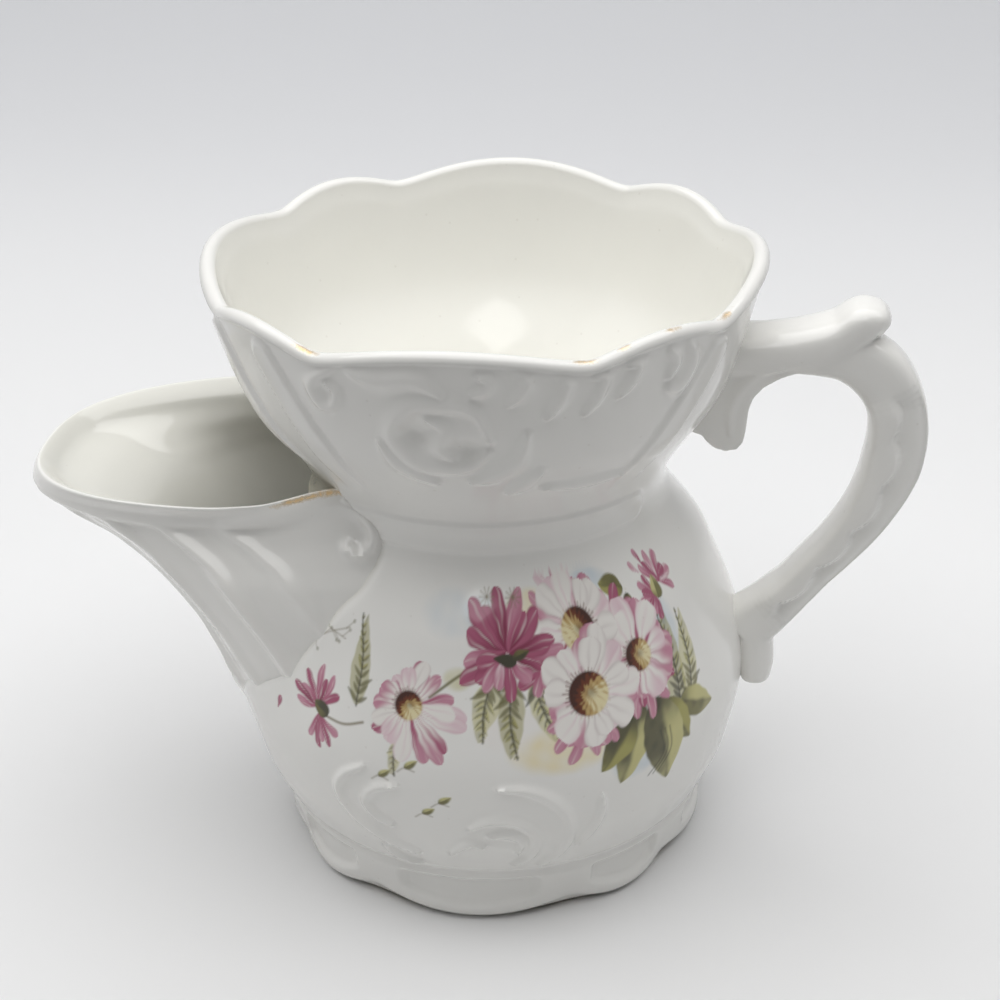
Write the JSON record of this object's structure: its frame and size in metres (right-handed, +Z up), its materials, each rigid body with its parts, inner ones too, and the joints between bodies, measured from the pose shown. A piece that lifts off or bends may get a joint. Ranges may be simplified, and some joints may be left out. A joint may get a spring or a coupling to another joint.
{
  "type": "shaving scuttle",
  "caption": "White glazed porcelain shaving scuttle: bellied water pot, flared soap bowl with scalloped rim and drainer, wide fluted brush spout and scrolled loop handle.",
  "frame": {"origin": "middle of the whole object's outline on the surface it stands on", "axes": "+X towards the handle, -X towards the spout, +Z up, +Y away from the viewer of the picture"},
  "size_m": [0.1443, 0.0872, 0.1028],
  "materials": {
    "white_glaze": "glossy",
    "cream_glaze": "glossy"
  },
  "bodies": {
    "root": {"lower_pot": "white_glaze", "soap_bowl": "white_glaze", "soap_shelf": "cream_glaze", "spout": "white_glaze", "handle": "white_glaze"}
  },
  "joints": []
}
